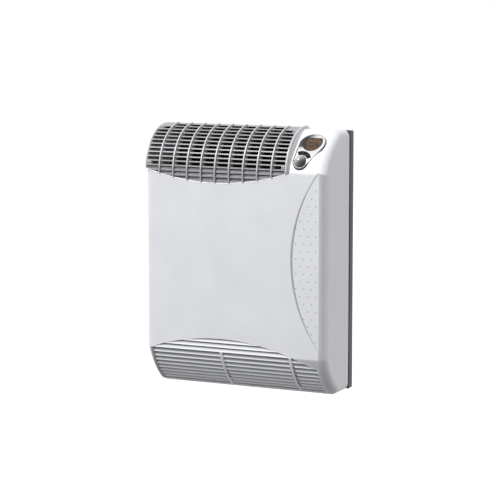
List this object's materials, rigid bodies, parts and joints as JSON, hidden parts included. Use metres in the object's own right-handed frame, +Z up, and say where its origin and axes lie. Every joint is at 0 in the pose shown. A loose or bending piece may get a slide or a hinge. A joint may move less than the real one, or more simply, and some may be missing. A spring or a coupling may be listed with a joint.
{
  "type": "gas heater",
  "caption": "Wall-hung room-sealed gas heater: curved metal cover, louvred air outlet and intake, control panel with knob and keys, dark rear frame, fan and burner inside.",
  "frame": {"origin": "middle of the wall face of the rear frame", "axes": "+X to the right of someone facing the heater, +Y into the wall, +Z up"},
  "size_m": [0.56, 0.1995, 0.7507],
  "materials": {
    "casing_white": "satin powder coat",
    "frame_grey": "matt powder coat",
    "grille_white": "satin powder coat",
    "screw_steel": "zinc plated",
    "chrome_trim": "metallised",
    "fascia_white": "smooth",
    "display_glass": "clear, tinted",
    "display_amber": "display",
    "board_green": "circuit board",
    "black_plastic": "fine grained",
    "knob_silver": "metallised",
    "raw_aluminium": "as cast",
    "motor_steel": "bare",
    "galvanised": "galvanised",
    "rubber_black": "moulded",
    "gasket_fibre": "ceramic fibre",
    "insulation": "mineral fibre board",
    "brass": "bare",
    "ceramic": "ceramic sleeve",
    "terminal_white": "moulded"
  },
  "bodies": {
    "chassis": {"front_cover": "casing_white", "rear_frame": "frame_grey", "outlet_grille": "grille_white", "grille_screws": "screw_steel", "intake_grille": "casing_white", "control_bezel": "chrome_trim", "control_fascia": "fascia_white", "display_window": "display_glass", "display_module": "display_amber", "control_board": "board_green", "control_housing": "black_plastic", "tact_switches": "black_plastic", "encoder_body": "screw_steel", "fan_motor": "motor_steel", "fan_bearing": "rubber_black", "fan_end_plate_left": "galvanised", "fan_end_plate_right": "galvanised", "fan_scroll": "galvanised", "fan_tongue": "galvanised", "heat_exchanger": "raw_aluminium", "chamber_gasket": "gasket_fibre", "burner_tray": "raw_aluminium", "burner_tube": "galvanised", "injector": "brass", "ignition_electrode": "ceramic", "flame_sensor": "ceramic", "overheat_thermostat": "black_plastic", "exchanger_brackets": "galvanised", "insulation_panel": "insulation", "heat_shield": "galvanised", "air_deflector": "galvanised", "intake_socket": "raw_aluminium", "exhaust_socket": "raw_aluminium", "exhaust_elbow": "raw_aluminium", "blower_housing": "galvanised", "blower_cover": "galvanised", "blower_motor": "motor_steel", "air_duct": "galvanised", "gas_union": "brass", "gas_pipe": "galvanised", "gas_valve": "raw_aluminium", "manifold_pipe": "brass", "board_tray": "galvanised", "main_board": "board_green", "terminal_block": "terminal_white", "cable_gland": "black_plastic", "pressure_switch": "black_plastic", "spark_generator": "black_plastic", "cover_tabs": "galvanised", "cover_screws": "screw_steel"},
    "convection_fan": {"fan_rotor": "raw_aluminium", "fan_shaft": "screw_steel"},
    "blower_wheel": {"blower_impeller": "raw_aluminium", "blower_shaft": "screw_steel"},
    "knob_plunger": {"encoder_plunger": "screw_steel"},
    "knob": {"control_knob": "knob_silver"},
    "right_key": {"right_key": "black_plastic"},
    "middle_key": {"middle_key": "black_plastic"},
    "left_key": {"left_key": "black_plastic"}
  },
  "joints": [
    {"name": "convection_fan_spin", "type": "hinge", "parent": "chassis", "child": "convection_fan", "pos_m": [0, -0.085, -0.282], "axis": [1, 0, 0], "continuous": true},
    {"name": "blower_spin", "type": "hinge", "parent": "chassis", "child": "blower_wheel", "pos_m": [0.218, -0.1, 0.05], "axis": [0, 1, 0], "continuous": true},
    {"name": "knob_push", "type": "slide", "parent": "chassis", "child": "knob_plunger", "axis": [0, 0.7859, -0.6184], "range_m": [0, 0.0015], "stiffness_N_per_m": 1500},
    {"name": "knob_turn", "type": "hinge", "parent": "knob_plunger", "child": "knob", "pos_m": [0.1958, -0.18211, 0.29019], "axis": [0, -0.7859, 0.6184], "continuous": true},
    {"name": "right_key_push", "type": "slide", "parent": "chassis", "child": "right_key", "axis": [0, 0.7859, -0.6184], "range_m": [0, 0.0012], "stiffness_N_per_m": 900},
    {"name": "middle_key_push", "type": "slide", "parent": "chassis", "child": "middle_key", "axis": [0, 0.7859, -0.6184], "range_m": [0, 0.0012], "stiffness_N_per_m": 900},
    {"name": "left_key_push", "type": "slide", "parent": "chassis", "child": "left_key", "axis": [0, 0.7859, -0.6184], "range_m": [0, 0.0012], "stiffness_N_per_m": 900}
  ]
}
